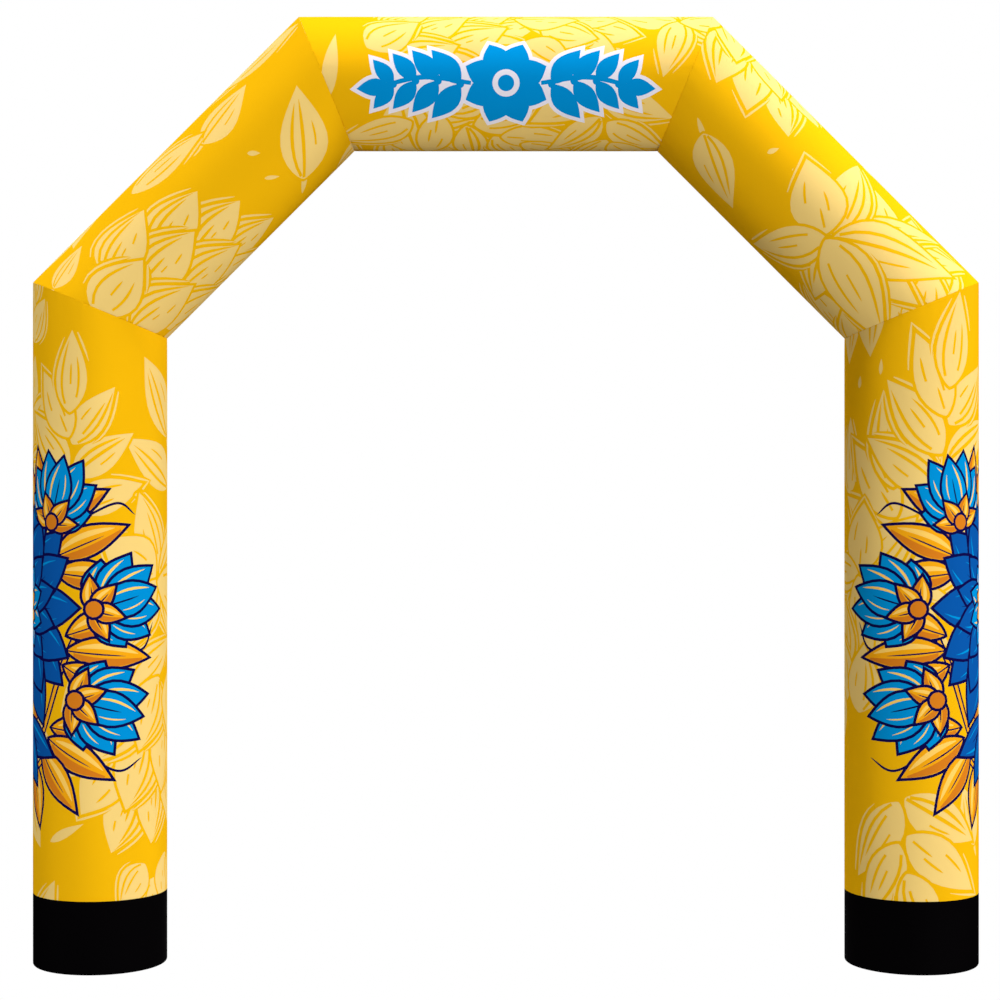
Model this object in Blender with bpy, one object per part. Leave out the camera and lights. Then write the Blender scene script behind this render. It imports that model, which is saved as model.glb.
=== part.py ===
"""Inflatable arch: five printed air tubes with mitred seams, standing on two black foot bands.

Metres, +Z up. The origin is on the floor midway between the feet, and the front faces -Y.
Every tube is an air-filled sleeve of one diameter. The sleeves meet at mitre planes that
halve the turn between them, so the centre line runs up a leg, along a diagonal, across
the crossbar and down the other side.
"""

import math

import bmesh
import bpy
from mathutils import Vector

# Driving dimensions
OVERALL_WIDTH = 5.0
OVERALL_HEIGHT = 5.0
TUBE_DIAMETER = 0.70
KNEE_HEIGHT = 3.45
FOOT_BAND_HEIGHT = 0.38
DIAGONAL_LEAN = math.radians(45)

# Seams: how far the fabric rounds over where a sleeve ends
MITRE_ROLL = 0.006
FOOT_SEAM_ROLL = 0.003
FLOOR_EDGE_ROLL = 0.012
ROLL_STEPS = 2
SEAM_GAP = 0.0003

# Mesh fineness
TUBE_SIDES = 72
SMOOTH_BELOW = math.radians(30)

# Worked out from the driving dimensions
TUBE_RADIUS = TUBE_DIAMETER / 2
LEG_X = OVERALL_WIDTH / 2 - TUBE_RADIUS
CROSSBAR_HEIGHT = OVERALL_HEIGHT - TUBE_RADIUS
SHOULDER_X = LEG_X - (CROSSBAR_HEIGHT - KNEE_HEIGHT) * math.tan(DIAGONAL_LEAN)

# Sleeves in order along the centre line, from the left foot band to the right one.
# lean is the turn about +Y from straight up.
SLEEVES = (
    {"name": "leg_left", "lean": 0.0},
    {"name": "diagonal_left", "lean": DIAGONAL_LEAN},
    {"name": "crossbar", "lean": math.radians(90)},
    {"name": "diagonal_right", "lean": math.pi - DIAGONAL_LEAN},
    {"name": "leg_right", "lean": math.pi},
)
CORNERS = (
    Vector((-LEG_X, 0, FOOT_BAND_HEIGHT)),
    Vector((-LEG_X, 0, KNEE_HEIGHT)),
    Vector((-SHOULDER_X, 0, CROSSBAR_HEIGHT)),
    Vector((SHOULDER_X, 0, CROSSBAR_HEIGHT)),
    Vector((LEG_X, 0, KNEE_HEIGHT)),
    Vector((LEG_X, 0, FOOT_BAND_HEIGHT)),
)


def clear_scene():
    for old in list(bpy.data.objects):
        bpy.data.objects.remove(old, do_unlink=True)


def make_collection(name):
    collection = bpy.data.collections.new(name)
    bpy.context.scene.collection.children.link(collection)
    return collection


def make_material(name, color, roughness, metallic=0.0):
    material = bpy.data.materials.new(name)
    material.use_nodes = True
    shader = material.node_tree.nodes["Principled BSDF"]
    shader.inputs["Base Color"].default_value = (*color, 1.0)
    shader.inputs["Roughness"].default_value = roughness
    shader.inputs["Metallic"].default_value = metallic
    material.diffuse_color = (*color, 1.0)
    return material


def cut_end(bm, height, tilt, facing, roll):
    """Cut the tube across at a height on its axis, close the cut and round its rim.

    tilt turns the cutting plane about Y, facing is +1 for the upper end and -1 for the
    lower one, and half the seam's gap is left outside the cut.
    """
    outward = Vector((math.sin(tilt), 0, math.cos(tilt))) * facing
    on_plane = Vector((0, 0, height)) - outward * SEAM_GAP / 2
    cut = bmesh.ops.bisect_plane(
        bm,
        geom=bm.verts[:] + bm.edges[:] + bm.faces[:],
        plane_co=on_plane,
        plane_no=outward,
        clear_outer=True,
    )
    rim = [piece for piece in cut["geom_cut"] if isinstance(piece, bmesh.types.BMEdge)]
    bmesh.ops.edgeloop_fill(bm, edges=rim)
    bmesh.ops.bevel(
        bm,
        geom=rim,
        offset=roll,
        segments=ROLL_STEPS,
        profile=0.5,
        affect="EDGES",
        material=-1,
    )
    bmesh.ops.recalc_face_normals(bm, faces=bm.faces[:])


def make_tube(name, length, lower, upper, material):
    """Build an air-filled tube along local Z, centred on the origin.

    lower and upper are the two ends, each with the tilt of its cutting plane and the
    size of its rounded rim.
    """
    overshoot = 2 * TUBE_RADIUS
    bm = bmesh.new()
    bmesh.ops.create_cone(
        bm,
        cap_ends=True,
        segments=TUBE_SIDES,
        radius1=TUBE_RADIUS,
        radius2=TUBE_RADIUS,
        depth=length + 2 * overshoot,
    )
    cut_end(bm, length / 2, upper["tilt"], 1, upper["roll"])
    cut_end(bm, -length / 2, lower["tilt"], -1, lower["roll"])
    mesh = bpy.data.meshes.new(name)
    bm.to_mesh(mesh)
    bm.free()
    mesh.shade_smooth()
    mesh.set_sharp_from_angle(angle=SMOOTH_BELOW)
    mesh.materials.append(material)
    return bpy.data.objects.new(name, mesh)


def place(piece, middle, lean, root, collection):
    piece.location = middle
    piece.rotation_euler = (0, lean, 0)
    piece.parent = root
    collection.objects.link(piece)


def sleeve_end(lean, next_lean, roll):
    """One end of a sleeve: its mitre halves the turn to the sleeve that it meets."""
    return {"tilt": (next_lean - lean) / 2, "roll": roll}


def build_sleeves(root, collection, material):
    """The five printed tubes, each from one corner of the centre line to the next."""
    last = len(SLEEVES) - 1
    for i, sleeve in enumerate(SLEEVES):
        lean = sleeve["lean"]
        lower = sleeve_end(lean, lean, FOOT_SEAM_ROLL)
        upper = sleeve_end(lean, lean, FOOT_SEAM_ROLL)
        if i > 0:
            lower = sleeve_end(lean, SLEEVES[i - 1]["lean"], MITRE_ROLL)
        if i < last:
            upper = sleeve_end(lean, SLEEVES[i + 1]["lean"], MITRE_ROLL)
        start = CORNERS[i]
        end = CORNERS[i + 1]
        tube = make_tube(sleeve["name"], (end - start).length, lower, upper, material)
        place(tube, (start + end) / 2, lean, root, collection)


def build_foot_bands(root, collection, material):
    """The black bands under the legs, closed below by a flat disc that rests on the floor."""
    lower = {"tilt": 0.0, "roll": FLOOR_EDGE_ROLL}
    upper = {"tilt": 0.0, "roll": FOOT_SEAM_ROLL}
    half_gap = SEAM_GAP / 2
    for name, side in (("base_left", -1), ("base_right", 1)):
        band = make_tube(name, FOOT_BAND_HEIGHT + half_gap, lower, upper, material)
        middle = Vector((side * LEG_X, 0, (FOOT_BAND_HEIGHT - half_gap) / 2))
        place(band, middle, 0.0, root, collection)


def main():
    clear_scene()
    collection = make_collection("inflatable_arch")
    root = bpy.data.objects.new("arch_origin", None)
    collection.objects.link(root)
    printed = make_material("printed_polyester", (0.92, 0.50, 0.02), roughness=0.45)
    black = make_material("black_polyester", (0.008, 0.008, 0.009), roughness=0.6)
    build_sleeves(root, collection, printed)
    build_foot_bands(root, collection, black)


main()
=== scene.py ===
"""Looks of an inflatable arch: five printed fabric sleeves, two black foot bands and a photo studio.

The file is laid out as a Blender add-on and run as a script. Each sleeve starts as a flat
sheet of cloth. The print's shapes are cut into the sheet, so that every colour is a patch of
real faces, and the sheet is rolled into a tube, sewn shut and closed at its ends.

Places on a sheet are in metres: round runs from the tube's front line towards the inside of
the arch, and along runs from the left foot over the top to the right foot. The drawing
functions hold such a place as a complex number, round + along * 1j.
"""

import cmath
import math

import bmesh
import bpy
import numpy as np
from bpy.props import FloatProperty, FloatVectorProperty, IntProperty, PointerProperty
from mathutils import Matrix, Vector
from mathutils.geometry import delaunay_2d_cdt


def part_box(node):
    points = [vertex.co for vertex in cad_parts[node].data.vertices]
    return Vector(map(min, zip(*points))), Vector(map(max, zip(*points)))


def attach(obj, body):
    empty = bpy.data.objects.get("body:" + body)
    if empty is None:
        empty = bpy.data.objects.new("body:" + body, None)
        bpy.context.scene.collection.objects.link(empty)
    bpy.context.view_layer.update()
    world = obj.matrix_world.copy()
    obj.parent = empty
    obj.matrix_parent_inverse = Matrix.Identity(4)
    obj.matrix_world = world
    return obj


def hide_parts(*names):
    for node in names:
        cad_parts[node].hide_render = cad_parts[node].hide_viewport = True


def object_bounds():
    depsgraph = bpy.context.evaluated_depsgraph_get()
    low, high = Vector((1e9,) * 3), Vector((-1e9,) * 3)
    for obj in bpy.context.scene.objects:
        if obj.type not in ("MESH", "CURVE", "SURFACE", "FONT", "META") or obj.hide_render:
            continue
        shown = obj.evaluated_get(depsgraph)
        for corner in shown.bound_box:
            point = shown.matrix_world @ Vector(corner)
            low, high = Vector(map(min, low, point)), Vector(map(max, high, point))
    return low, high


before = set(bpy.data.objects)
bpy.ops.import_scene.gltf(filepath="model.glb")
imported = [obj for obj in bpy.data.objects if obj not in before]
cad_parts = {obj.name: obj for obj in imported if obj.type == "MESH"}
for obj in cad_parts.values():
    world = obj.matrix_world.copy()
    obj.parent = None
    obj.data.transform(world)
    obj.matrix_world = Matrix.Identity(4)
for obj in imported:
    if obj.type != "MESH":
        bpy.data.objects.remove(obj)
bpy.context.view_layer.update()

bl_info = {
    "name": "Inflatable Arch",
    "version": (1, 0, 0),
    "blender": (4, 5, 0),
    "location": "View3D > Sidebar > Arch",
    "description": "Sews the printed sleeves and foot bands of an inflatable arch round its solids",
    "category": "Object",
}

BACK = np.array((0.0, 1.0, 0.0))

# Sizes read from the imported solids
BAND_LOW, BAND_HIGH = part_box("base_right")
ARCH_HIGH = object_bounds()[1]
TUBE_RADIUS = (BAND_HIGH.y - BAND_LOW.y) / 2
LEG_X = (BAND_HIGH.x + BAND_LOW.x) / 2
BAND_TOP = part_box("leg_right")[0].z
CROSSBAR_Z = ARCH_HIGH.z - TUBE_RADIUS
KNEE_Z = (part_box("leg_right")[1].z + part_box("diagonal_right")[0].z) / 2

# Gathers beside a mitred seam: how far they run from it, and how many there are round the
# tube, as two trains of waves of unlike height
GATHER_REACH = 0.035
GATHER_MEAN = 0.55
GATHER_WAVES = ((0.3, 31, 0.0), (0.15, 47, 1.0))

# Distances in metres under which points are taken as one, and a face as a sliver
SAME_EDGE = 0.0002
SAME_POINT = 0.00005
SLIVER = 0.00002

# Printing inks in the order of the material slots of a sleeve
INKS = ("ground", "leaf", "white", "navy", "deep_blue", "blue", "gold", "light_gold", "amber")


def linear(hex_code):
    """The linear colour of an sRGB hex code such as EEB30B."""
    parts = [int(hex_code[i:i + 2], 16) / 255 for i in (0, 2, 4)]
    return tuple(p / 12.92 if p <= 0.04045 else ((p + 0.055) / 1.055) ** 2.4 for p in parts)


def ink_property(label, hex_code):
    return FloatVectorProperty(
        name=label,
        description=f"{label} of the print",
        default=linear(hex_code),
        size=3,
        min=0.0,
        max=1.0,
        subtype="COLOR",
    )


class ArchSizes(bpy.types.PropertyGroup):
    tube_radius: FloatProperty(
        name="Tube radius",
        description="Radius of every air-filled tube",
        default=TUBE_RADIUS,
        unit="LENGTH",
    )
    knee_height: FloatProperty(
        name="Knee height",
        description="Height where the centre lines of a leg and a diagonal meet",
        default=KNEE_Z,
        unit="LENGTH",
    )
    lean: FloatProperty(
        name="Diagonal lean",
        description="Turn of the diagonals from upright",
        default=math.radians(45),
        subtype="ANGLE",
    )
    seam_gap: FloatProperty(
        name="Seam gap",
        description="Clearance between two sleeves where they are sewn together",
        default=0.0003,
        unit="LENGTH",
    )
    mitre_roll: FloatProperty(
        name="Mitre roll",
        description="How far the cloth rounds over at a mitred seam",
        default=0.0012,
        unit="LENGTH",
    )
    band_roll: FloatProperty(
        name="Band roll",
        description="How far the cloth rounds over where the foot band is sewn on",
        default=0.0012,
        unit="LENGTH",
    )
    floor_roll: FloatProperty(
        name="Floor roll",
        description="Rounding of the foot band's edge on the floor",
        default=0.012,
        unit="LENGTH",
    )
    pucker: FloatProperty(
        name="Pucker depth",
        description="Depth of the small gathers beside a mitred seam",
        default=0.0016,
        unit="LENGTH",
    )
    columns: IntProperty(
        name="Columns",
        description="Divisions of the cloth round a tube",
        default=128,
        min=16,
    )


class ArchInks(bpy.types.PropertyGroup):
    ground: ink_property("Yellow ground", "EEB30B")
    leaf: ink_property("Pale yellow leaves", "F0CD79")
    white: ink_property("White outline", "EBE6F0")
    navy: ink_property("Navy line", "0E0A46")
    deep_blue: ink_property("Deep blue", "0A52A0")
    blue: ink_property("Bright blue", "028CD0")
    gold: ink_property("Gold", "F0A514")
    light_gold: ink_property("Light gold", "FACB62")
    amber: ink_property("Amber shade", "D27A1C")
    black: ink_property("Black of the foot bands", "020102")


class ArchStudio(bpy.types.PropertyGroup):
    camera_distance: FloatProperty(
        name="Camera distance",
        description="Distance from the camera to the arch's middle plane",
        default=11.26,
        unit="LENGTH",
    )
    camera_height: FloatProperty(
        name="Camera height",
        description="Height of the level camera above the floor",
        default=2.446,
        unit="LENGTH",
    )
    camera_x: FloatProperty(
        name="Camera sideways",
        description="Small sideways step that frames the arch as photographed",
        default=-0.031,
        unit="LENGTH",
    )
    lens: FloatProperty(
        name="Lens",
        description="Focal length in millimetres on a 36 mm wide sensor",
        default=76.43,
    )
    floor_radius: FloatProperty(
        name="Floor radius",
        description="Radius of the round studio floor and of the white dome over it",
        default=45.0,
        unit="LENGTH",
    )
    soft_light: FloatProperty(
        name="Soft light",
        description="Strength of the even light from all round",
        default=0.03,
    )
    key_power: FloatProperty(
        name="Key light",
        description="Power of the light in front, far to the right",
        default=4670.0,
        unit="POWER",
    )
    fill_power: FloatProperty(
        name="Fill light",
        description="Power of the low light in front, on the left",
        default=580.0,
        unit="POWER",
    )
    top_power: FloatProperty(
        name="Top light",
        description="Power of the light far above the crossbar",
        default=6470.0,
        unit="POWER",
    )
    side_power: FloatProperty(
        name="Side light",
        description="Power of the high light far to the right",
        default=6300.0,
        unit="POWER",
    )
    left_power: FloatProperty(
        name="Left light",
        description="Power of the high light on the left",
        default=530.0,
        unit="POWER",
    )
    back_power: FloatProperty(
        name="Back light",
        description="Power of the light behind the arch",
        default=1200.0,
        unit="POWER",
    )
    bounce_power: FloatProperty(
        name="Floor bounce",
        description="Power of the light that the white floor throws up between the legs",
        default=12.0,
        unit="POWER",
    )


def set_inputs(node, inputs):
    for key, value in inputs.items():
        if isinstance(value, bpy.types.NodeSocket):
            node.id_data.links.new(value, node.inputs[key])
        else:
            node.inputs[key].default_value = value


def add_node(material, kind, inputs, **settings):
    """Add a node with its settings, and link or set each of the inputs given."""
    node = material.node_tree.nodes.new(kind)
    for name, value in settings.items():
        setattr(node, name, value)
    set_inputs(node, inputs)
    return node


def woven_polyester(name, colour, roughness, specular):
    """Woven polyester with a smooth coating.

    The eye gets a flat, even colour with hardly any shine, a fine over-and-under weave close up,
    and two rows of stitches beside every sewn edge. Threads are really 0.5 mm apart and are
    drawn 2 mm apart, so that they show at all.
    """
    thread_spacing = 0.002
    stitch_pitch = 0.009
    stitch_rows = (0.010, 0.017)
    stitch_half_width = 0.0014
    bands_at_scale_one = math.pi / 10
    relief = 0.00015
    worn = tuple(0.965 * c for c in colour)
    fresh = tuple(min(1.0, 1.02 * c) for c in colour)
    material = bpy.data.materials.new(name)
    material.use_nodes = True
    shader = material.node_tree.nodes["Principled BSDF"]
    material.diffuse_color = (*colour, 1.0)
    cloth = add_node(material, "ShaderNodeUVMap", {}, uv_map="cloth").outputs["UV"]
    seam = add_node(material, "ShaderNodeUVMap", {}, uv_map="seam").outputs["UV"]

    waves = [
        add_node(
            material,
            "ShaderNodeTexWave",
            {"Vector": cloth, "Scale": bands_at_scale_one / thread_spacing},
            bands_direction=direction,
        ).outputs["Fac"]
        for direction in ("X", "Y")
    ]
    weave = add_node(
        material, "ShaderNodeMath", {0: waves[0], 1: waves[1]}, operation="MULTIPLY"
    ).outputs[0]

    split = add_node(material, "ShaderNodeSeparateXYZ", {"Vector": seam}).outputs
    thread = add_node(
        material,
        "ShaderNodeTexWave",
        {"Vector": seam, "Scale": bands_at_scale_one / stitch_pitch},
        bands_direction="X",
    ).outputs["Fac"]
    rows = [
        add_node(
            material,
            "ShaderNodeMath",
            {0: split["Y"], 1: distance, 2: stitch_half_width},
            operation="COMPARE",
        ).outputs[0]
        for distance in stitch_rows
    ]
    both_rows = add_node(
        material, "ShaderNodeMath", {0: rows[0], 1: rows[1]}, operation="ADD"
    ).outputs[0]
    stitches = add_node(
        material, "ShaderNodeMath", {0: both_rows, 1: thread}, operation="MULTIPLY"
    ).outputs[0]
    height = add_node(
        material, "ShaderNodeMath", {0: stitches, 1: 2.0, 2: weave}, operation="MULTIPLY_ADD"
    ).outputs[0]
    bump = add_node(
        material, "ShaderNodeBump", {"Height": height, "Strength": 0.3, "Distance": relief}
    ).outputs["Normal"]

    mottle = add_node(
        material, "ShaderNodeTexNoise", {"Vector": cloth, "Scale": 3.0, "Detail": 3.0}
    ).outputs["Fac"]
    tint = add_node(
        material,
        "ShaderNodeMix",
        {"Factor": mottle, "A": (*worn, 1.0), "B": (*fresh, 1.0)},
        data_type="RGBA",
    )
    set_inputs(
        shader,
        {
            "Base Color": tint.outputs["Result"],
            "Roughness": roughness,
            "Specular IOR Level": specular,
            "Normal": bump,
        },
    )
    return material


class Sleeve:
    """One tube of cloth: its centre line, how its ends are cut, and how it lies in space."""

    def __init__(self, name, start, end, low_turn, high_turn, low_roll, high_roll, sizes):
        self.name = name
        self.start = np.array(start)
        run = np.array(end) - self.start
        self.length = float(np.linalg.norm(run))
        self.axis = run / self.length
        self.inward = np.cross(BACK, self.axis)
        self.radius = sizes.tube_radius
        self.girth = math.tau * self.radius
        self.low_slope = math.tan(low_turn / 2)
        self.high_slope = math.tan(high_turn / 2)
        self.low_roll = low_roll
        self.high_roll = high_roll
        self.half_gap = sizes.seam_gap / 2
        self.pucker = sizes.pucker
        self.lean = math.degrees(math.atan2(self.axis[0], self.axis[2]))

    def ends(self, round_):
        """Where the cloth starts and ends along the tube, at a distance round it."""
        reach = self.radius * np.sin(round_ / self.radius)
        low = reach * self.low_slope + self.half_gap
        high = self.length - reach * self.high_slope - self.half_gap
        return low, high

    def drawn_in(self, round_, distance, roll, slope):
        """How far the cloth lies inside the full tube near an end: the roll and the gathers."""
        fold = np.clip(1 - distance / roll, 0, 1)
        rolled = roll * (1 - np.sqrt(1 - fold ** 2))
        if slope == 0:
            return rolled
        angle = round_ / self.radius
        gathers = GATHER_MEAN + sum(
            depth * np.cos(count * angle + phase) for depth, count, phase in GATHER_WAVES
        )
        return rolled + self.pucker * gathers * np.exp(-distance / GATHER_REACH)

    def place(self, round_, along):
        """Points in space of places on the cloth, one row each. Where the cloth lies inside the
        full tube it also slides along, so that a cut end stays in its plane."""
        low, high = self.ends(round_)
        low_drop = self.drawn_in(round_, along - low, self.low_roll, self.low_slope)
        high_drop = self.drawn_in(round_, high - along, self.high_roll, self.high_slope)
        sine = np.sin(round_ / self.radius)
        cosine = np.cos(round_ / self.radius)
        radius = self.radius - low_drop - high_drop
        along = along - (low_drop * self.low_slope - high_drop * self.high_slope) * sine
        return (
            self.start
            + np.outer(along, self.axis)
            + np.outer(radius * sine, self.inward)
            - np.outer(radius * cosine, BACK)
        )

    def unrolled(self, points):
        """The round and along distances of points on the tube."""
        offset = points - self.start
        angle = np.arctan2(offset @ self.inward, -(offset @ BACK))
        return angle * self.radius, offset @ self.axis

    def normals(self, points):
        """The cloth's outward direction at points on the tube."""
        step = 0.0002
        round_, along = self.unrolled(points)
        low, high = self.ends(round_)
        along = np.clip(along, low + step, high - step)
        across = self.place(round_ + step, along) - self.place(round_ - step, along)
        up = self.place(round_, along + step) - self.place(round_, along - step)
        out = np.cross(across, up)
        return out / np.linalg.norm(out, axis=1)[:, None]


def arch_sleeves(sizes):
    """The five sleeves from the left foot band to the right one, mitred where they turn."""
    shoulder_x = LEG_X - (CROSSBAR_Z - sizes.knee_height) * math.tan(sizes.lean)
    corners = [
        (-LEG_X, 0, BAND_TOP - sizes.seam_gap / 2),
        (-LEG_X, 0, sizes.knee_height),
        (-shoulder_x, 0, CROSSBAR_Z),
        (shoulder_x, 0, CROSSBAR_Z),
        (LEG_X, 0, sizes.knee_height),
        (LEG_X, 0, BAND_TOP - sizes.seam_gap / 2),
    ]
    names = ("leg_left", "diagonal_left", "crossbar", "diagonal_right", "leg_right")
    turns = (0.0, sizes.lean, math.pi / 2 - sizes.lean, math.pi / 2 - sizes.lean, sizes.lean, 0.0)
    rolls = (sizes.band_roll, *[sizes.mitre_roll] * 4, sizes.band_roll)
    return [
        Sleeve(
            name, corners[i], corners[i + 1], turns[i], turns[i + 1], rolls[i], rolls[i + 1], sizes
        )
        for i, name in enumerate(names)
    ]


def foot_bands(sizes):
    """The two black bands, from the floor up to the leg's seam."""
    top = BAND_TOP - sizes.seam_gap / 2
    rolls = (sizes.floor_roll, sizes.band_roll)
    return [
        Sleeve(name, (x, 0, -sizes.seam_gap / 2), (x, 0, top), 0.0, 0.0, *rolls, sizes)
        for name, x in (("base_left", -LEG_X), ("base_right", LEG_X))
    ]


def row_steps(sleeve):
    """Rows of the cloth's grid, each as (which end it follows, distance from that end or share)."""
    near_end = (0, 0.0008, 0.0025, 0.005, 0.009, 0.014, 0.022, 0.036, 0.06, 0.1)
    row_pitch = 0.06
    short = 0.5
    if sleeve.length < short:
        near_end = near_end[:-2]
    middle = max(2, round((sleeve.length - 2 * near_end[-1]) / row_pitch))
    rows = [("low", distance) for distance in near_end]
    rows += [("share", i / middle) for i in range(1, middle)]
    rows += [("high", distance) for distance in reversed(near_end)]
    return rows, near_end[-1]


def flat_sheet(sleeve, columns):
    """A flat sheet of cloth in a bmesh, cut to the sleeve's mitred ends, with the rows and columns
    of its grid."""
    rows, margin = row_steps(sleeve)
    bm = bmesh.new()
    bmesh.ops.create_grid(bm, x_segments=columns, y_segments=len(rows) - 1, size=0.5)
    bm.verts.ensure_lookup_table()
    for i, vert in enumerate(bm.verts):
        kind, amount = rows[i // (columns + 1)]
        round_ = sleeve.girth * ((i % (columns + 1)) / columns - 0.5)
        low, high = sleeve.ends(round_)
        if kind == "low":
            along = low + amount
        elif kind == "high":
            along = high - amount
        else:
            along = low + margin + (high - low - 2 * margin) * amount
        vert.co = (round_, along, 0)
    bm.verts.index_update()
    return bm


class Artwork:
    """Shapes to print on one sheet, lowest first, drawn in a motif's own coordinates."""

    def __init__(self, shapes=None, move=lambda spot: spot):
        self.shapes = [] if shapes is None else shapes
        self.move = move

    def at(self, spot=0, turn=0.0, size=1.0, flip=False):
        """The same artwork for a motif at a spot: turned anticlockwise in degrees, or mirrored."""
        spin = cmath.rect(size, math.radians(turn))

        def move(point):
            local = -point.conjugate() if flip else point
            return self.move(spot + spin * local)

        return Artwork(self.shapes, move)

    def paint(self, ink, outline):
        self.shapes.append((ink, [self.move(point) for point in outline]))


def swell(outline, distance):
    """The outline pushed outwards by a distance, with its sharp tips kept short."""
    needle = 0.4
    sharpest = 0.45
    needle_stretch = 1.5
    area = sum((a.conjugate() * b).imag for a, b in zip(outline, outline[1:] + outline[:1]))
    side = -1j if area > 0 else 1j
    grown = []
    for i, point in enumerate(outline):
        before = point - outline[i - 1]
        after = outline[(i + 1) % len(outline)] - point
        if abs(before) < 1e-7 or abs(after) < 1e-7:
            continue
        first = before / abs(before) * side
        second = after / abs(after) * side
        middle = first + second
        if abs(middle) < needle:
            middle = (first - second) * side * 0.5
            grown.append(point + distance * needle_stretch * middle / max(abs(middle), 1e-6))
            continue
        middle /= abs(middle)
        stretch = 1 / max(sharpest, (middle * first.conjugate()).real)
        grown.append(point + distance * stretch * middle)
    return grown


def smooth_path(points, steps=8):
    """A soft curve through a few points."""
    ends = [2 * points[0] - points[1], *points, 2 * points[-1] - points[-2]]
    path = []
    for p0, p1, p2, p3 in zip(ends, ends[1:], ends[2:], ends[3:]):
        for i in range(steps):
            t = i / steps
            path.append(
                0.5 * (
                    2 * p1
                    + (p2 - p0) * t
                    + (2 * p0 - 5 * p1 + 4 * p2 - p3) * t ** 2
                    + (3 * p1 - p0 - 3 * p2 + p3) * t ** 3
                )
            )
    return [*path, points[-1]]


def stroke(path, width, start=0.12, end=0.12):
    """The outline of a cut or brushed line. start and end are the shares of its width there."""
    left = []
    right = []
    last = len(path) - 1
    for i, point in enumerate(path):
        ahead = path[min(i + 1, last)] - path[max(i - 1, 0)]
        share = i / last
        ends = start * (1 - share) + end * share
        swelling = ends + (1 - ends) * math.sin(math.pi * share) ** 0.7
        offset = 1j * ahead / max(abs(ahead), 1e-9) * width / 2 * swelling
        left.append(point + offset)
        right.append(point - offset)
    return left + right[::-1]


def disc(radius, middle=0, points=14):
    return [middle + cmath.rect(radius, math.tau * i / points) for i in range(points)]


class Leaf:
    """A pointed leaf from its stalk at the origin to its tip straight up.

    belly under 1 moves its widest part towards the stalk, and bend leans its tip sideways.
    Places on it are along, 0 to 1 from stalk to tip, and across, -1 to 1 from edge to edge.
    """

    steps = 14

    def __init__(self, length, width, bend=0.0, belly=0.8):
        self.length = length
        self.width = width
        self.bend = bend
        self.belly = belly

    def point(self, along, across):
        half = self.width / 2 * math.sin(math.pi * min(1, max(0, along)) ** self.belly)
        return complex(self.bend * self.length * along ** 2 + across * half, self.length * along)

    def outline(self):
        """The leaf's rim, with its points closer together at the stalk and the tip."""
        steps = [(1 - math.cos(math.pi * i / self.steps)) / 2 for i in range(self.steps + 1)]
        left = [self.point(t, -1) for t in steps]
        right = [self.point(t, 1) for t in reversed(steps[1:-1])]
        return left + right

    def path(self, across, start, stop):
        return [self.point(start + (stop - start) * i / 7, across) for i in range(8)]


# How a pale leaf is cut in the manner of a woodcut, by style: its cuts, as (across, from, to,
# width), and the stretches of its rim that a thin pale line echoes outside it, counted in
# steps of the outline from the stalk up the left side, over the tip at 14 and down to 28
LEAF_STYLES = {
    "plain": ((), ()),
    "veined": (
        ((-0.52, 0.04, 0.82, 0.019), (-0.06, 0.02, 0.86, 0.020), (0.46, 0.38, 0.64, 0.012)),
        (),
    ),
    "ribbed": (
        (
            (-0.72, 0.02, 0.95, 0.018),
            (-0.38, 0.05, 0.84, 0.018),
            (-0.04, 0.1, 0.5, 0.016),
            (0.42, 0.52, 0.68, 0.012),
            (0.24, 0.32, 0.44, 0.010),
        ),
        ((4, 12),),
    ),
    "flecked": (
        ((-0.45, 0.44, 0.72, 0.014), (0.32, 0.28, 0.54, 0.014), (0.02, 0.08, 0.34, 0.014)),
        ((8, 19),),
    ),
    "split": (
        ((0.64, 0.06, 0.92, 0.017), (0.24, 0.2, 0.74, 0.016), (-0.4, 0.36, 0.58, 0.012)),
        ((16, 24),),
    ),
    "grooved": (
        ((-0.6, 0.1, 0.88, 0.017), (0.0, 0.34, 0.6, 0.013), (0.5, 0.18, 0.68, 0.015)),
        ((5, 11), (16, 20)),
    ),
}
# Where a pale leaf is widest, as a leaf's belly
PALE_BELLY = 0.74
# The clear edge round a pale leaf, and the echo line's width, its clear edge and its distance
HALO = 0.0155
ECHO_WIDTH = 0.012
ECHO_HALO = 0.042
ECHO_DISTANCE = 0.024


def pale_leaf(art, leaf, style):
    """A pale leaf, parted by a clear edge from what it is printed over."""
    cuts, echoes = LEAF_STYLES[style]
    outline = leaf.outline()
    rim = swell(outline, ECHO_DISTANCE)
    for start, stop in echoes:
        line = rim[start:stop + 1]
        art.paint("ground", stroke(line, ECHO_HALO))
        art.paint("leaf", stroke(line, ECHO_WIDTH, 0.5, 0.2))
    art.paint("ground", swell(outline, HALO))
    art.paint("leaf", outline)
    for across, start, stop, width in cuts:
        art.paint("ground", stroke(leaf.path(across, start, stop), width, 0.9, 0.1))


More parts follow.
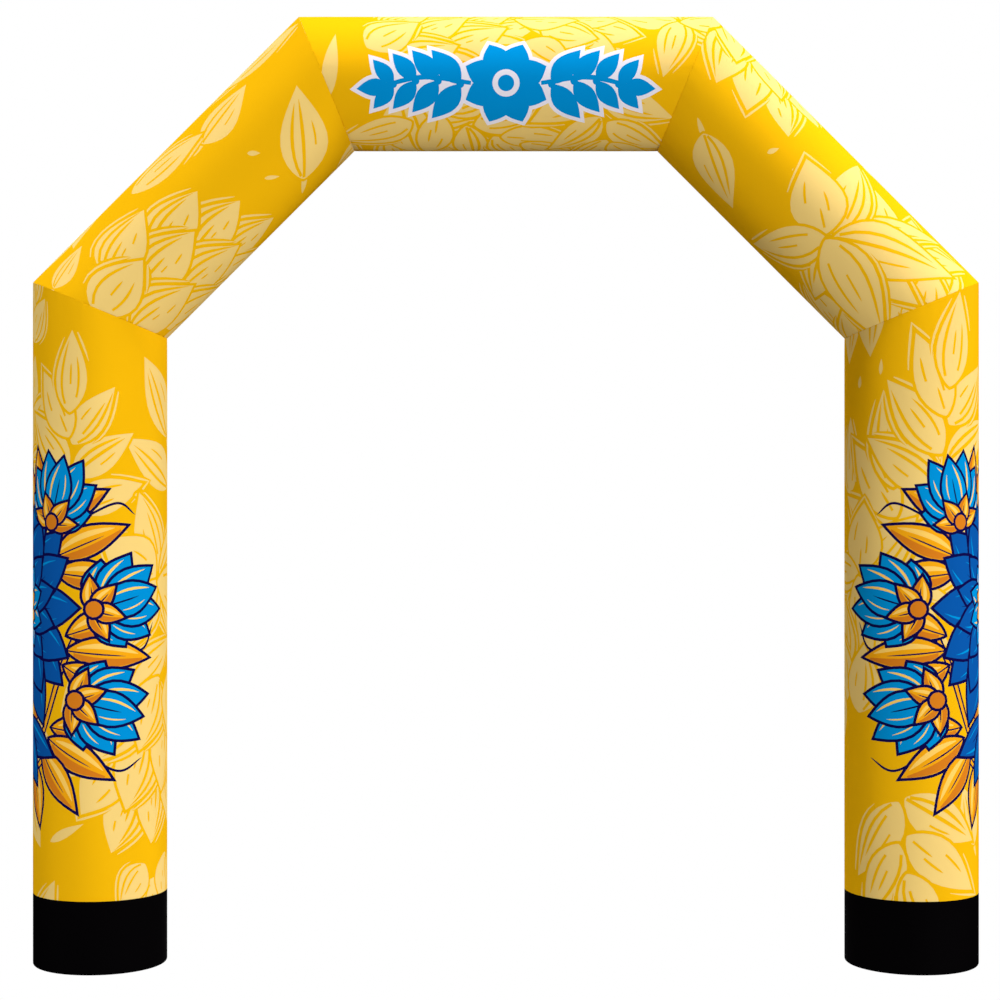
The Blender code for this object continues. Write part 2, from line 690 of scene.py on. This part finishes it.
# The pale motifs: their leaves, lowest first, each as spot, turn in degrees, length and width
# in metres, bend and style
MOTIFS = {
    "leaf": (
        (0.012 - 0.10j, 5, 0.22, 0.034, 0.0, "plain"),
        (0, 0, 0.50, 0.26, -0.06, "veined"),
    ),
    "curled_leaf": ((0, 0, 0.48, 0.21, 0.16, "grooved"),),
    "slender_leaf": ((0, 0, 0.36, 0.08, 0.02, "plain"),),
    "chips": (
        (0, -78, 0.060, 0.024, 0.0, "plain"),
        (0.10 - 0.10j, -74, 0.075, 0.020, 0.0, "plain"),
    ),
    "twig": (
        (0.01 - 0.02j, -68, 0.42, 0.20, 0.08, "flecked"),
        (-0.02 + 0.02j, 54, 0.44, 0.20, -0.08, "split"),
        (0.01 + 0.16j, -52, 0.42, 0.19, 0.08, "veined"),
        (-0.02 + 0.20j, 38, 0.44, 0.20, -0.05, "grooved"),
        (0.01 + 0.34j, -36, 0.40, 0.18, 0.05, "split"),
        (-0.01 + 0.38j, 22, 0.42, 0.19, -0.05, "flecked"),
        (0.52j, -4, 0.46, 0.19, 0.0, "grooved"),
    ),
    "sprig": (
        (-0.01 - 0.02j, 57, 0.44, 0.21, -0.06, "veined"),
        (0.02, -28, 0.44, 0.20, 0.06, "split"),
        (-0.02 + 0.16j, 50, 0.46, 0.21, -0.06, "flecked"),
        (0.02 + 0.20j, -22, 0.42, 0.19, 0.05, "grooved"),
        (-0.02 + 0.34j, 22, 0.40, 0.19, 0.0, "split"),
    ),
    "star": (
        (0.04, -80, 0.62, 0.16, 0.10, "split"),
        (0.02 - 0.02j, -124, 0.54, 0.22, 0.05, "flecked"),
        (0.01, 158, 0.38, 0.20, -0.05, "split"),
        (0.03 + 0.02j, -22, 0.46, 0.24, 0.03, "split"),
        (-0.02 + 0.02j, 14, 0.40, 0.29, 0.0, "flecked"),
        (-0.02, 108, 0.46, 0.22, 0.08, "grooved"),
        (0.02, -102, 0.66, 0.28, 0.07, "veined"),
        (-0.02 - 0.01j, -148, 0.62, 0.28, 0.06, "grooved"),
    ),
    "bud": (
        (0.60j, 0, 0.34, 0.24, 0.08, "ribbed"),
        (-0.13 + 0.50j, 16, 0.35, 0.25, 0.10, "ribbed"),
        (0.13 + 0.47j, -20, 0.34, 0.24, -0.04, "flecked"),
        (-0.24 + 0.34j, 24, 0.38, 0.26, 0.10, "ribbed"),
        (0.22 + 0.32j, -30, 0.36, 0.25, -0.06, "split"),
        (0.33j, 2, 0.38, 0.28, 0.08, "ribbed"),
        (-0.15 + 0.18j, 14, 0.39, 0.28, 0.10, "ribbed"),
        (0.14 + 0.16j, -18, 0.37, 0.27, -0.02, "grooved"),
        (-0.30 + 0.08j, 30, 0.38, 0.27, 0.10, "ribbed"),
        (0.26 + 0.05j, -38, 0.36, 0.25, -0.06, "split"),
        (0.0j, 0, 0.40, 0.29, 0.08, "ribbed"),
        (-0.17 - 0.08j, 18, 0.36, 0.27, 0.10, "grooved"),
    ),
}

# Where the pale motifs lie: motif, round and along in metres, the turn in degrees
# anticlockwise from upright as seen from the front, and the size
PALE_MOTIFS = {
    "leg_left": (
        ("bud", -0.60, 2.86, 0, 0.72),
        ("leaf", 0.55, 2.40, 27, 0.95),
        ("leaf", 0.57, 2.14, 54, 0.90),
        ("twig", -0.08, 2.04, 2, 0.92),
        ("chips", 0.25, 2.09, 0, 1.0),
        ("star", 0.42, 1.66, 44, 0.95),
        ("curled_leaf", 0.22, 1.10, -48, 0.90),
        ("bud", 0.42, 1.14, 163, 1.0),
        ("slender_leaf", -0.22, 0.30, -62, 0.62),
        ("curled_leaf", -0.10, -0.29, -42, 0.90),
        ("curled_leaf", -0.36, -0.30, -14, 0.90),
    ),
    "diagonal_left": (
        ("bud", 0.25, 0.05, -53, 1.02),
        ("leaf", 0.36, 1.25, 4, 1.0),
        ("leaf", -0.19, 1.00, -36, 0.78),
        ("curled_leaf", -0.31, 0.56, -44, 1.0),
        ("curled_leaf", -0.43, 1.30, -45, 1.05),
        ("leaf", -0.21, -0.07, -30, 0.54),
        ("chips", 0.03, 1.13, -10, 1.1),
        ("leaf", 0.56, 1.42, -38, 0.80),
    ),
    "crossbar": (
        ("slender_leaf", 0.14, 0.03, -5, 1.0),
        ("bud", -0.02, 0.36, -66, 0.90),
        ("curled_leaf", -0.26, 1.44, 82, 1.0),
        ("leaf", -0.10, 1.44, 96, 1.0),
        ("bud", -0.37, 1.00, -88, 0.80),
        ("star", -0.35, 1.86, 62, 0.82),
        ("leaf", 0.13, 0.40, 188, 0.98),
        ("curled_leaf", 0.27, 0.46, 118, 0.85),
        ("twig", 0.22, 0.62, -118, 0.90),
        ("twig", 0.10, 1.42, 192, 0.90),
    ),
    "diagonal_right": (
        ("bud", -0.76, -0.10, 184, 1.0),
        ("leaf", 0.18, 0.27, 193, 0.86),
        ("chips", 0.02, 0.575, 10, 1.1),
        ("curled_leaf", -0.08, 1.42, -82, 0.90),
        ("leaf", 0.02, 1.62, 196, 0.60),
        ("star", 0.10, 1.11, 0, 1.0),
        ("curled_leaf", -0.42, 1.00, -62, 0.80),
    ),
    "leg_right": (
        ("leaf", 0.44, -0.09, 172, 0.76),
        ("leaf", 0.30, -0.12, 178, 0.76),
        ("chips", 0.37, 0.42, 70, 1.1),
        ("curled_leaf", 0.46, 0.98, 8, 0.85),
        ("twig", 0.06, 1.50, 10, 1.10),
        ("twig", -0.10, 0.98, -4, 1.08),
        ("star", 0.36, 1.40, -20, 0.90),
        ("bud", 0.58, 2.28, 28, 1.0),
        ("leaf", -0.34, 2.80, 16, 0.66),
        ("sprig", 0.11, 2.56, 180, 1.08),
        ("chips", -0.02, 2.36, 20, 1.0),
    ),
}


def lay_pale_motifs(art, sleeve):
    """The tone-on-tone leaves: those of the table, and the same turned half round for the back."""
    for behind in (True, False):
        for motif, round_, along, turn, size in PALE_MOTIFS[sleeve.name]:
            spot = complex(round_, along)
            if behind:
                spot = complex(round_ - sleeve.girth / 2, sleeve.length - along)
                turn += 180
            place = art.at(spot, turn + sleeve.lean, size)
            for leaf_spot, leaf_turn, length, width, bend, style in MOTIFS[motif]:
                leaf = Leaf(length, width, bend, PALE_BELLY)
                pale_leaf(place.at(leaf_spot, leaf_turn), leaf, style)


# Width of the navy line round the posy's shapes
LINE = 0.015


def outlined(art, ink, outline, line=LINE):
    art.paint("navy", swell(outline, line))
    art.paint(ink, outline)


def blue_petal(art, leaf, ink, light):
    outlined(art, ink, leaf.outline())
    art.paint("navy", stroke(leaf.path(0.05, 0.06, 0.66), 0.009, 0.9, 0.1))
    art.paint(light, stroke(leaf.path(-0.55, 0.25, 0.88), 0.014, 0.3, 0.1))
    art.paint(light, stroke(leaf.path(0.6, 0.35, 0.75), 0.008, 0.3, 0.1))


def gold_leaf(art, leaf):
    """A gold leaf with an amber shade along one side and a pale light along the other."""
    outlined(art, "gold", leaf.outline())
    art.paint("amber", leaf.path(0.95, 0.08, 0.92) + leaf.path(0.35, 0.08, 0.92)[::-1])
    art.paint("light_gold", stroke(leaf.path(-0.45, 0.12, 0.86), leaf.width * 0.2, 0.2, 0.1))
    art.paint("navy", stroke(leaf.path(0.12, 0.0, 0.70), 0.008, 1.0, 0.1))


def side_flower(art):
    """An open flower with bright petals in a gold cup."""
    for turn, length in ((70, 0.24), (-70, 0.24), (42, 0.32), (-42, 0.32), (18, 0.37), (-18, 0.37)):
        blue_petal(art.at(turn=turn), Leaf(length, 0.17, 0.0, 1.0), "blue", "light_gold")
    blue_petal(art, Leaf(0.35, 0.17, 0.0, 0.9), "blue", "light_gold")
    for turn in (78, -78, 30, -30):
        gold_leaf(art.at(-0.03j, turn), Leaf(0.17, 0.09, 0.0, 0.8))
    outlined(art, "amber", disc(0.042, -0.02j))


def great_blossom(art):
    """The middle flower: petals fanned up and down, and four rings of them round an amber eye."""
    for turn, length in ((46, 0.56), (-46, 0.56), (24, 0.66), (-24, 0.66), (0, 0.70)):
        for upside_down in (0, 180):
            petal = Leaf(length, 0.24, 0.0, 1.1)
            blue_petal(art.at(turn=turn + upside_down), petal, "deep_blue", "blue")
    rings = (
        (12, 0.0, 0.50, 0.22, "deep_blue", "blue"),
        (12, 15.0, 0.36, 0.16, "deep_blue", "blue"),
        (10, 0.0, 0.25, 0.13, "blue", "light_gold"),
        (8, 22.5, 0.16, 0.10, "gold", "light_gold"),
    )
    for count, offset, length, width, ink, light in rings:
        for i in range(count):
            petal = Leaf(length, width, 0.0, 1.3)
            blue_petal(art.at(turn=offset + 360 * i / count), petal, ink, light)
    outlined(art, "amber", disc(0.06, points=24))
    art.paint("light_gold", disc(0.035, -0.010 + 0.010j, 16))


# Stems of the leg's posy, each as points from its foot to its flower
POSY_STEMS = (
    (-0.84j, 0.24 - 0.60j, 0.42 - 0.18j, 0.56 + 0.10j),
    (-0.84j, 0.20 - 0.74j, 0.34 - 0.60j, 0.46 - 0.42j),
    (0.10 + 0.16j, 0.24 + 0.38j, 0.32 + 0.60j),
)
# Curls of line beside it, as points
POSY_CURLS = (
    (0.16 + 0.62j, 0.13 + 0.82j, 0.05 + 0.92j),
    (0.52 + 0.56j, 0.70 + 0.64j, 0.80 + 0.58j),
    (0.62 - 0.10j, 0.84 - 0.12j, 0.92 + 0.02j),
    (0.50 - 0.62j, 0.70 - 0.74j, 0.84 - 0.68j),
)
# Gold leaves beside the stems: spot, turn, length, width
POSY_LEAVES = (
    (0.24 + 0.56j, 34, 0.30, 0.12),
    (0.26 + 0.60j, 12, 0.32, 0.12),
    (0.38 + 0.56j, -58, 0.30, 0.12),
    (0.34 + 0.44j, -38, 0.34, 0.14),
    (0.36 + 0.36j, -64, 0.42, 0.15),
    (0.38 + 0.28j, -92, 0.36, 0.14),
    (0.44 - 0.04j, -68, 0.36, 0.14),
    (0.44 - 0.12j, -92, 0.44, 0.15),
    (0.42 - 0.20j, -116, 0.34, 0.14),
    (0.34 - 0.52j, -92, 0.38, 0.14),
    (0.32 - 0.58j, -116, 0.40, 0.15),
    (0.26 - 0.64j, -140, 0.38, 0.14),
    (0.16 - 0.70j, -164, 0.34, 0.13),
    (0.10 - 0.56j, -20, 0.34, 0.13),
)
# Flowers at the stems' ends: spot, turn, size
POSY_FLOWERS = (
    (0.34 + 0.56j, -14, 0.92),
    (0.60 + 0.10j, -74, 1.0),
    (0.50 - 0.38j, -104, 1.0),
)


def posy(art):
    """The bunch of flowers on the outer side of each leg, the same to left and right."""
    for flip in (False, True):
        half = art.at(flip=flip)
        for points in POSY_CURLS:
            half.paint("navy", stroke(smooth_path(points), 0.013, 1.0, 0.1))
        for points in POSY_STEMS:
            path = smooth_path(points)
            half.paint("navy", stroke(path, 0.040, 0.9, 0.6))
            half.paint("gold", stroke(path, 0.018, 0.9, 0.6))
        for spot, turn, length, width in POSY_LEAVES:
            gold_leaf(half.at(spot, turn), Leaf(length, width, 0.06, 0.85))
    for turn in (64, -64, 32, -32, 0):
        blue_petal(art.at(-0.50j, 180 + turn), Leaf(0.38, 0.17, 0.0, 0.9), "deep_blue", "blue")
    great_blossom(art.at(0.10j))
    for flip in (False, True):
        for spot, turn, size in POSY_FLOWERS:
            side_flower(art.at(flip=flip).at(spot, turn, size))


def garland_outlines():
    """The crossbar's garland: a round blossom, and to each side of it a branch of paired leaves
    that ends in a single one."""
    shapes = []

    def keep(outline, spot=0, turn=0, flip=False):
        spin = cmath.rect(1, math.radians(turn))
        points = [spot + spin * point for point in outline]
        shapes.append([-p.conjugate() for p in points] if flip else points)

    for flip in (False, True):
        keep(stroke(smooth_path([0.18, 0.42 + 0.03j, 0.66 - 0.02j]), 0.026, 0.8, 0.5), flip=flip)
        for i in range(4):
            size = 1 - 0.10 * i
            spot = complex(0.235 + 0.115 * i, 0.012 - 0.008 * (i - 1.5) ** 2)
            keep(disc(0.020), spot, flip=flip)
            for bend, turn in ((0.06, -36), (-0.06, -144)):
                leaf = Leaf(0.235 * size, 0.115 * size, bend, 0.85)
                keep(leaf.outline(), spot, turn, flip)
        keep(Leaf(0.17, 0.09, 0.0, 0.85).outline(), 0.60 - 0.015j, -95, flip)
    for i in range(8):
        keep(Leaf(0.225, 0.145, 0.0, 1.2).outline(), turn=i * 45 + 22.5)
    return shapes


def garland(art):
    outlines = garland_outlines()
    for outline in outlines:
        art.paint("white", swell(outline, 0.020))
    for outline in outlines:
        art.paint("blue", outline)
    art.paint("white", disc(0.070, points=28))
    art.paint("blue", disc(0.042, points=24))


def sleeve_artwork(sleeve):
    """Everything printed on a sleeve, lowest first."""
    art = Artwork()
    lay_pale_motifs(art, sleeve)
    quarter = sleeve.girth / 4
    posy_height = 1.41
    garland_rise = 0.06
    if sleeve.name == "leg_left":
        posy(art.at(complex(-quarter, posy_height), sleeve.lean))
    if sleeve.name == "leg_right":
        posy(art.at(complex(-quarter, sleeve.length - posy_height), sleeve.lean))
    if sleeve.name == "crossbar":
        middle = sleeve.length / 2
        garland(art.at(complex(garland_rise, middle), 90))
        garland(art.at(complex(sleeve.girth / 2 - garland_rise, middle), -90))
    return art.shapes


def cut_cloth(points, edges):
    """Triangles that fill the outline of the points, with every edge cut into them."""
    cut = delaunay_2d_cdt(points, edges, [], 0, 1e-6, False)
    return np.array([tuple(point) for point in cut[0]]), np.array(cut[2])


def within(places, outline):
    """Which places lie inside a closed outline, whichever way round it is drawn."""
    ends = np.roll(outline, -1, axis=0)
    run = ends - outline
    offset = places[:, None, :] - outline[None]
    side = run[:, 0] * offset[..., 1] - run[:, 1] * offset[..., 0]
    above_start = offset[..., 1] >= 0
    above_end = places[:, None, 1] >= ends[:, 1]
    rising = above_start & ~above_end & (side > 0)
    falling = ~above_start & above_end & (side < 0)
    return rising.sum(axis=1) != falling.sum(axis=1)


def top_inks(places, shapes):
    """The number of the ink on top at each place of the sheet."""
    top = np.zeros(len(places), dtype=int)
    order = np.argsort(places[:, 1])
    places = places[order]
    for ink, outline in shapes:
        low = outline.min(axis=0)
        high = outline.max(axis=0)
        first, last = np.searchsorted(places[:, 1], (low[1], high[1]))
        sideways = places[first:last, 0]
        near = first + np.flatnonzero((sideways > low[0]) & (sideways < high[0]))
        if len(near):
            top[order[near[within(places[near], outline)]]] = ink
    return top


def wrapped_shapes(sleeve, shapes):
    """The shapes as arrays of points. One that crosses the back seam is printed on both sides
    of it, a girth apart, and those beyond the sleeve's ends are left out."""
    half = sleeve.girth / 2
    mitre_reach = 0.2
    kept = []
    for ink, outline in shapes:
        flat = np.array([(point.real, point.imag) for point in outline])
        lowest = flat[:, 1].min()
        highest = flat[:, 1].max()
        if highest < -mitre_reach or lowest > sleeve.length + mitre_reach:
            continue
        for shift in (-sleeve.girth, 0.0, sleeve.girth):
            moved = flat + (shift, 0.0)
            if moved[:, 0].min() < half and moved[:, 0].max() > -half:
                kept.append((INKS.index(ink), moved))
    return kept


def ink_borders(shapes):
    """Points and edges of the lines where one ink meets another, with all hidden lines gone."""
    points = np.concatenate([outline for _, outline in shapes])
    edges = []
    first = 0
    for _, outline in shapes:
        count = len(outline)
        edges += [(first + i, first + (i + 1) % count) for i in range(count)]
        first += count
    points, faces = cut_cloth([Vector(point) for point in points], edges)
    inks = top_inks(points[faces].mean(axis=1), shapes)
    pairs = np.concatenate([faces[:, [0, 1]], faces[:, [1, 2]], faces[:, [2, 0]]])
    pairs.sort(axis=1)
    beside = np.concatenate([inks, inks, inks])
    order = np.lexsort((pairs[:, 1], pairs[:, 0]))
    pairs = pairs[order]
    beside = beside[order]
    same = (pairs[:-1] == pairs[1:]).all(axis=1)
    borders = pairs[:-1][same & (beside[:-1] != beside[1:])]
    used, borders = np.unique(borders, return_inverse=True)
    return points[used], borders.reshape(-1, 2)


def print_on_sheet(sleeve, bm, columns, shapes):
    """Cut the printed patches into the flat sheet, and give each face the ink on top of it.

    Returns the flat mesh of triangles.
    """
    shapes = wrapped_shapes(sleeve, shapes)
    grid = [vert.co.xy for vert in bm.verts]
    edges = [tuple(vert.index for vert in edge.verts) for edge in bm.edges]
    print_points, print_edges = ink_borders(shapes)
    edges += [tuple(edge) for edge in (print_edges + len(grid)).tolist()]
    points, faces = cut_cloth(grid + [Vector(point) for point in print_points], edges)

    middles = points[faces].mean(axis=1)
    width = np.linspace(-sleeve.girth / 2, sleeve.girth / 2, columns + 1)
    low, high = sleeve.ends(width)
    inside = middles[:, 1] > np.interp(middles[:, 0], width, low)
    inside &= middles[:, 1] < np.interp(middles[:, 0], width, high)
    inside &= np.abs(middles[:, 0]) < sleeve.girth / 2
    faces = faces[inside]

    low, high = sleeve.ends(points[:, 0])
    at_low = np.abs(points[:, 1] - low) < SAME_EDGE
    at_high = np.abs(points[:, 1] - high) < SAME_EDGE
    points[at_low, 1] = low[at_low]
    points[at_high, 1] = high[at_high]
    mesh = bpy.data.meshes.new(sleeve.name)
    mesh.from_pydata(np.pad(points, ((0, 0), (0, 1))).tolist(), [], faces.tolist())
    mesh.polygons.foreach_set("material_index", top_inks(middles[inside], shapes))
    return mesh


def add_cloth_maps(mesh, sleeve):
    """UV maps in metres from the flat sheet: the place on the cloth, and the run of the nearest
    sewn edge with the distance from it."""
    flat = np.empty(len(mesh.vertices) * 3)
    mesh.vertices.foreach_get("co", flat)
    corner = np.empty(len(mesh.loops), dtype=int)
    mesh.loops.foreach_get("vertex_index", corner)
    place = flat.reshape(-1, 3)[corner, :2]
    low, high = sleeve.ends(place[:, 0])
    end_distance = np.minimum(place[:, 1] - low, high - place[:, 1])
    back_distance = sleeve.girth / 2 - np.abs(place[:, 0])
    beside_end = end_distance < back_distance
    seam = np.stack(
        [
            np.where(beside_end, place[:, 0], place[:, 1]),
            np.where(beside_end, end_distance, back_distance),
        ],
        axis=1,
    )
    mesh.uv_layers.new(name="cloth").data.foreach_set("uv", place.ravel())
    mesh.uv_layers.new(name="seam").data.foreach_set("uv", seam.ravel())


def roll_and_sew(mesh, sleeve):
    """Roll the flat cloth into its tube, sew it along the back and close both ends."""
    flat = np.empty(len(mesh.vertices) * 3)
    mesh.vertices.foreach_get("co", flat)
    flat = flat.reshape(-1, 3)
    mesh.vertices.foreach_set("co", sleeve.place(flat[:, 0], flat[:, 1]).ravel())
    bm = bmesh.new()
    bm.from_mesh(mesh)
    loose = [vert for vert in bm.verts if not vert.link_faces]
    bmesh.ops.delete(bm, geom=loose, context="VERTS")
    bmesh.ops.remove_doubles(bm, verts=bm.verts[:], dist=SAME_POINT)
    bmesh.ops.dissolve_degenerate(bm, edges=bm.edges[:], dist=SLIVER)
    rims = [edge for edge in bm.edges if edge.is_boundary]
    caps = bmesh.ops.holes_fill(bm, edges=rims, sides=0)["faces"]
    for face in bm.faces:
        face.smooth = True
    for cap in caps:
        cap.smooth = False
        cap.material_index = 0
    bmesh.ops.recalc_face_normals(bm, faces=bm.faces[:])
    open_edges = sum(1 for edge in bm.edges if not edge.is_manifold)
    bm.to_mesh(mesh)
    bm.free()
    if open_edges:
        raise RuntimeError(f"{sleeve.name} has {open_edges} open or doubled edges")
    points = np.empty(len(mesh.vertices) * 3)
    mesh.vertices.foreach_get("co", points)
    mesh.normals_split_custom_set_from_vertices(sleeve.normals(points.reshape(-1, 3)))


def finish_piece(mesh, name, node, materials):
    piece = bpy.data.objects.new(name, mesh)
    bpy.context.scene.collection.objects.link(piece)
    for material in materials:
        mesh.materials.append(material)
    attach(piece, "root")
    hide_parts(node)
    return piece


class ARCH_OT_sew_sleeves(bpy.types.Operator):
    """Print, roll and sew the five yellow sleeves"""

    bl_idname = "arch.sew_sleeves"
    bl_label = "Sew Sleeves"

    def execute(self, context):
        sizes = context.scene.arch_sizes
        inks = context.scene.arch_inks
        materials = [
            woven_polyester(f"printed_polyester_{ink}", tuple(getattr(inks, ink)), 0.5, 0.0)
            for ink in INKS
        ]
        for sleeve in arch_sleeves(sizes):
            bm = flat_sheet(sleeve, sizes.columns)
            mesh = print_on_sheet(sleeve, bm, sizes.columns, sleeve_artwork(sleeve))
            bm.free()
            add_cloth_maps(mesh, sleeve)
            roll_and_sew(mesh, sleeve)
            finish_piece(mesh, f"{sleeve.name}_sleeve", sleeve.name, materials)
        return {"FINISHED"}


class ARCH_OT_sew_foot_bands(bpy.types.Operator):
    """Sew the two black foot bands with their floor discs"""

    bl_idname = "arch.sew_foot_bands"
    bl_label = "Sew Foot Bands"

    def execute(self, context):
        sizes = context.scene.arch_sizes
        black = tuple(context.scene.arch_inks.black)
        material = woven_polyester("black_polyester", black, 0.8, 0.02)
        for band in foot_bands(sizes):
            bm = flat_sheet(band, sizes.columns)
            mesh = bpy.data.meshes.new(band.name)
            bm.to_mesh(mesh)
            bm.free()
            add_cloth_maps(mesh, band)
            roll_and_sew(mesh, band)
            finish_piece(mesh, f"{band.name}_band", band.name, [material])
        return {"FINISHED"}


def white_paper():
    """Seamless white studio paper, lit from all round: the eye gets pure white, with no edge and
    no shadow on it, as behind and under the arch in the photograph."""
    material = bpy.data.materials.new("white_paper")
    material.use_nodes = True
    set_inputs(
        material.node_tree.nodes["Principled BSDF"],
        {
            "Base Color": (0.0, 0.0, 0.0, 1.0),
            "Specular IOR Level": 0.0,
            "Emission Color": (1.0, 1.0, 1.0, 1.0),
            "Emission Strength": 1.0,
        },
    )
    return material


def hide_from_light(stage_piece):
    """Keep a stage piece for the camera alone, so that it throws no light or shadow."""
    stage_piece.visible_diffuse = False
    stage_piece.visible_glossy = False
    stage_piece.visible_transmission = False
    stage_piece.visible_shadow = False


# Studio lamps: name, place, size across and the place that it is aimed at. The bounce lies just
# under the floor, which lets its light through.
ARCH_MIDDLE = (0.0, 0.0, ARCH_HIGH.z / 2)
LAMPS = (
    ("key", (16.0, -20.0, 0.5), 10.0, ARCH_MIDDLE),
    ("fill", (-10.0, -7.0, 0.5), 5.0, ARCH_MIDDLE),
    ("top", (0.0, -2.0, 26.0), 10.0, ARCH_MIDDLE),
    ("side", (30.0, -8.0, 18.0), 10.0, ARCH_MIDDLE),
    ("left", (-14.0, 0.0, 12.0), 5.0, ARCH_MIDDLE),
    ("back", (0.0, 12.0, 7.5), 5.0, ARCH_MIDDLE),
    ("bounce", (0.0, 0.5, -0.1), 4.0, (0.0, 0.5, 5.0)),
)


def area_light(name, spot, size, target, power):
    """A large, soft, round light that the camera doesn't see."""
    light = bpy.data.lights.new(name, "AREA")
    light.shape = "DISK"
    light.size = size
    light.energy = power
    lamp = bpy.data.objects.new(name, light)
    lamp.location = spot
    aim = Vector(target) - Vector(spot)
    lamp.rotation_euler = aim.to_track_quat("-Z", "Y").to_euler()
    lamp.visible_camera = False
    bpy.context.scene.collection.objects.link(lamp)


class ARCH_OT_set_stage(bpy.types.Operator):
    """Set up the pale studio floor, the white surround, the soft lights and the camera"""

    bl_idname = "arch.set_stage"
    bl_label = "Set Stage"

    def execute(self, context):
        studio = context.scene.arch_studio
        scene = context.scene
        scene.view_settings.view_transform = "Standard"

        paper = white_paper()
        bpy.ops.mesh.primitive_circle_add(
            vertices=96, radius=studio.floor_radius, fill_type="NGON"
        )
        floor = context.object
        floor.name = "studio_floor"
        floor.data.materials.append(paper)
        bpy.ops.mesh.primitive_uv_sphere_add(
            segments=48, ring_count=24, radius=studio.floor_radius
        )
        surround = context.object
        surround.name = "studio_surround"
        surround.data.materials.append(paper)
        for piece in (floor, surround):
            hide_from_light(piece)

        world = bpy.data.worlds.new("studio_air")
        scene.world = world
        world.use_nodes = True
        world.node_tree.nodes["Background"].inputs["Strength"].default_value = studio.soft_light
        for name, spot, size, target in LAMPS:
            area_light(name, spot, size, target, getattr(studio, f"{name}_power"))

        lens = bpy.data.cameras.new("camera")
        lens.lens = studio.lens
        lens.sensor_width = 36.0
        camera = bpy.data.objects.new("camera", lens)
        camera.location = (studio.camera_x, -studio.camera_distance, studio.camera_height)
        camera.rotation_euler = (math.radians(90), 0, 0)
        scene.collection.objects.link(camera)
        scene.camera = camera
        return {"FINISHED"}


class ARCH_PT_panel(bpy.types.Panel):
    """Lists the arch's steps and settings"""

    bl_idname = "ARCH_PT_panel"
    bl_label = "Inflatable Arch"
    bl_space_type = "VIEW_3D"
    bl_region_type = "UI"
    bl_category = "Arch"

    def draw(self, context):
        layout = self.layout
        for operator in (ARCH_OT_set_stage, ARCH_OT_sew_sleeves, ARCH_OT_sew_foot_bands):
            layout.operator(operator.bl_idname)
        for group in (context.scene.arch_sizes, context.scene.arch_inks, context.scene.arch_studio):
            box = layout.box()
            for name in group.bl_rna.properties.keys():
                if name not in ("rna_type", "name"):
                    box.prop(group, name)


CLASSES = (
    ArchSizes,
    ArchInks,
    ArchStudio,
    ARCH_OT_set_stage,
    ARCH_OT_sew_sleeves,
    ARCH_OT_sew_foot_bands,
    ARCH_PT_panel,
)
GROUPS = {"arch_sizes": ArchSizes, "arch_inks": ArchInks, "arch_studio": ArchStudio}


def register():
    for cls in CLASSES:
        bpy.utils.register_class(cls)
    for name, group in GROUPS.items():
        setattr(bpy.types.Scene, name, PointerProperty(type=group))


def unregister():
    for name in GROUPS:
        delattr(bpy.types.Scene, name)
    for cls in reversed(CLASSES):
        bpy.utils.unregister_class(cls)


def main():
    register()
    bpy.ops.arch.set_stage()
    bpy.ops.arch.sew_sleeves()
    bpy.ops.arch.sew_foot_bands()


if __name__ == "__main__":
    main()
